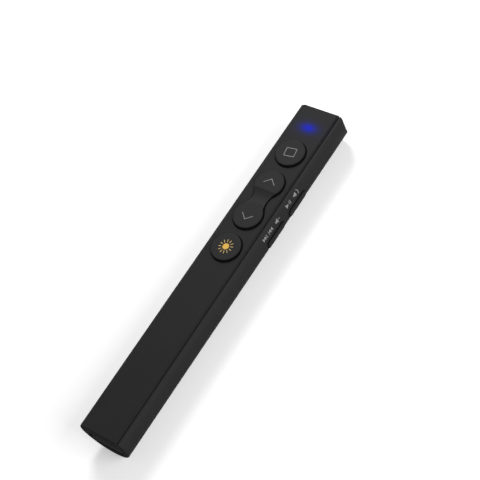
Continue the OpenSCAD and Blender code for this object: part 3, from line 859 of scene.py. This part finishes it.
@dataclass(frozen=True)
class Electronics:
    """Main board and everything soldered to it."""

    def build(self) -> None:
        """Dresses the board's parts."""
        dress(SolderMask("solder_masked_glass_epoxy"), "main_board", "receiver_board")
        dress(WorkedMetal("tinned_steel_switch_frames", "#c2c4c6", "#a4a6a9"), "top_switches",
              "side_switches", "laser_leads")
        dress(WorkedMetal("nickel_plated_can", "#cccdcc", "#b0b1b0", roughness=0.2), "crystal")
        dress(WorkedMetal("zinc_plated_steel", "#9a9ca0", "#7d8084"), "board_screws")
        dress(MouldedPlastic("moulded_epoxy_package", "#141415", roughness=0.45), "radio_chip")
        dress(MouldedPlastic("fired_ceramic_capacitors", "#a9835a", roughness=0.35), "board_capacitors")
        dress(ClearMoulding("clear_epoxy_led", "#e4ecfa"), "status_led")
        dress(ClearMoulding("frosted_acrylic_guide", "#dfe7f2", roughness=0.4), "led_light_guide")


@dataclass(frozen=True)
class LaserModule:
    """Barrel, diode, lens and window of the laser."""

    def build(self) -> None:
        """Dresses the laser's parts."""
        dress(WorkedMetal("turned_brass_barrel", "#c79a4b", "#a87d38", Grain.DRAWN_Y), "laser_barrel")
        dress(WorkedMetal("gold_plated_diode_can", "#d8b465", "#bf9848", roughness=0.22), "laser_diode")
        dress(ClearMoulding("coated_glass_lens", "#f3e4e6", roughness=0.02, ior=1.52), "laser_lens")
        dress(ClearMoulding("tinted_acrylic_window", "#8c1420"), "laser_window")


@dataclass(frozen=True)
class PowerBay:
    """The cell with its contacts, and the cover that slides over them."""

    def build(self) -> None:
        """Dresses the battery bay's parts."""
        low, high = box_mm("battery_cell")
        # the cover's under tone is painted shade on its underside
        dress(SoftTouchPaint("soft_touch_paint_battery_cover", under="#070707"), "battery_cover")
        dress(CellSleeve("printed_shrink_sleeve", low.y, high.y), "battery_cell")
        dress(WorkedMetal("nickel_plated_spring_steel", "#c9c8c4", "#aaa9a5", roughness=0.22),
              "battery_spring", "negative_contact", "positive_contact")


@dataclass(frozen=True)
class Receiver:
    """The plug-in receiver that is stored in the tail."""

    def build(self) -> None:
        """Dresses the receiver's parts."""
        # the dull tone is painted shade, darker towards the receiver's top
        dress(MouldedPlastic("moulded_abs_receiver", "#424243", roughness=0.9, specular=0.05,
                             dull="#161617"), "receiver_housing")
        dress(WorkedMetal("nickel_plated_plug_shell", "#c8cacc", "#a9abae", Grain.DRAWN_Y),
              "receiver_shell")
        dress(MouldedPlastic("moulded_white_insulator", "#e9e9e4", roughness=0.4), "receiver_tongue")
        dress(WorkedMetal("gold_flashed_contacts", "#d9b25c", "#c09a48", Grain.DRAWN_Y),
              "receiver_contacts")


# ----------------------------------------------------------------------- studio


@dataclass(frozen=True)
class SoftBox:
    """A square soft lamp that looks at a point on the object."""

    name: str
    place_mm: tuple[float, float, float]
    aim_mm: tuple[float, float, float]
    size_mm: float
    watts: float

    def build(self) -> None:
        """Hangs the lamp."""
        lamp = bpy.data.lights.new(self.name, "AREA")
        lamp.shape = "SQUARE"
        lamp.size = self.size_mm * MM
        lamp.energy = self.watts
        holder = bpy.data.objects.new(self.name, lamp)
        holder.location = Vector(self.place_mm) * MM
        away = Vector(self.place_mm) - Vector(self.aim_mm)
        holder.rotation_euler = away.to_track_quat("Z", "Y").to_euler()
        bpy.context.scene.collection.objects.link(holder)
        LOG.info("%s at %s mm", self.name, self.place_mm)


@dataclass(frozen=True)
class Studio:
    """Pale floor, soft lamps, white surroundings and the camera."""

    floor_half_mm: float = 2500.0
    floor_drop_mm: float = 0.05
    floor_colour: str = "#e6e6e6"
    floor_lift: float = 0.4
    ambient: float = 0.2
    aim_mm: tuple[float, float, float] = (2.686, 11.854, 14.1)
    azimuth: float = 58.503
    elevation: float = 52.121
    roll: float = -29.855
    distance_mm: float = 477.209
    lens_mm: float = 104.757
    sensor_mm: float = 36.0
    lamps: tuple[SoftBox, ...] = (
        SoftBox("key_softbox", (-260, 330, 420), (0, 40, 10), 220, 2.2),
        SoftBox("fill_softbox", (420, 40, 260), (0, 0, 8), 300, 1.8),
    )

    def floor(self) -> None:
        """Lays the floor, which lights up a little for the camera and keeps the shadow."""
        half = self.floor_half_mm * MM
        z = -self.floor_drop_mm * MM
        data = bpy.data.meshes.new("floor")
        data.from_pydata([(-half, -half, z), (half, -half, z), (half, half, z), (-half, half, z)], [],
                         [(0, 1, 2, 3)])
        material = empty_material("matt_white_board")
        tree = material.node_tree
        paths = add_node(tree, "LightPath")
        seen = self.seen_directly(tree, paths)
        lift = add_node(tree, "Math", {0: seen, 1: self.floor_lift}, operation="MULTIPLY").outputs[0]
        matt = add_node(
            tree, "BsdfPrincipled",
            {"Base Color": linear(self.floor_colour), "Roughness": 0.9, "Specular IOR Level": 0.1,
             "Emission Color": (1, 1, 1, 1), "Emission Strength": lift},
        )
        add_node(tree, "OutputMaterial", {"Surface": matt.outputs[0]})
        data.materials.append(material)
        floor = bpy.data.objects.new("floor", data)
        bpy.context.scene.collection.objects.link(floor)

    def seen_directly(self, tree: bpy.types.NodeTree, paths: bpy.types.Node) -> bpy.types.NodeSocket:
        """Gives 1 for camera, glossy and transmission rays.

        Args:
            tree: node tree that gets the nodes.
            paths: its light path node.

        Returns:
            The socket with that value.
        """
        value = paths.outputs["Is Camera Ray"]
        for kind in ("Is Glossy Ray", "Is Transmission Ray"):
            value = add_node(
                tree, "Math", {0: value, 1: paths.outputs[kind]}, operation="MAXIMUM"
            ).outputs[0]
        return value

    def surroundings(self) -> None:
        """Makes the world white to look at and softer as a light."""
        world = bpy.data.worlds.new("white_surroundings")
        world.use_nodes = True
        tree = world.node_tree
        tree.nodes.clear()
        seen = self.seen_directly(tree, add_node(tree, "LightPath"))
        strength = add_node(
            tree, "MapRange", {"Value": seen, "To Min": self.ambient, "To Max": 1.0}
        ).outputs["Result"]
        back = add_node(tree, "Background", {"Color": (1, 1, 1, 1), "Strength": strength})
        add_node(tree, "OutputWorld", {"Surface": back.outputs[0]})
        bpy.context.scene.world = world

    def camera(self) -> None:
        """Sets up the camera, turned about its own axis by the roll."""
        az, el, roll = (math.radians(v) for v in (self.azimuth, self.elevation, self.roll))
        back = Vector((math.sin(az) * math.cos(el), -math.cos(az) * math.cos(el), math.sin(el)))
        level = Vector((math.cos(az), math.sin(az), 0))
        upright = back.cross(level)
        right = level * math.cos(roll) + upright * math.sin(roll)
        up = back.cross(right)
        turn = Matrix((right, up, back)).transposed()
        data = bpy.data.cameras.new("camera")
        data.sensor_width = self.sensor_mm
        data.lens = self.lens_mm
        data.clip_start, data.clip_end = 0.01, 20.0
        camera = bpy.data.objects.new("camera", data)
        place = (Vector(self.aim_mm) + back * self.distance_mm) * MM
        camera.matrix_world = Matrix.Translation(place) @ turn.to_4x4()
        bpy.context.scene.collection.objects.link(camera)
        bpy.context.scene.camera = camera

    def build(self) -> None:
        """Builds the whole studio."""
        self.floor()
        self.surroundings()
        for lamp in self.lamps:
            lamp.build()
        self.camera()
        bpy.context.scene.view_settings.view_transform = "Standard"


def main() -> None:
    """Builds every sub-assembly and the studio."""
    logging.basicConfig(level=logging.INFO, format="%(name)s %(message)s")
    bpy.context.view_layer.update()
    film = InkFilm()
    ink = PrintedInk("printed_ink_grey", "#8e8e8d", "#7c7c7b")
    Housing().build(film, ink)
    KeyPad().build(film, ink)
    SideRockers().build()
    Electronics().build()
    LaserModule().build()
    PowerBay().build()
    Receiver().build()
    Studio().build()


if __name__ == "__main__":
    main()
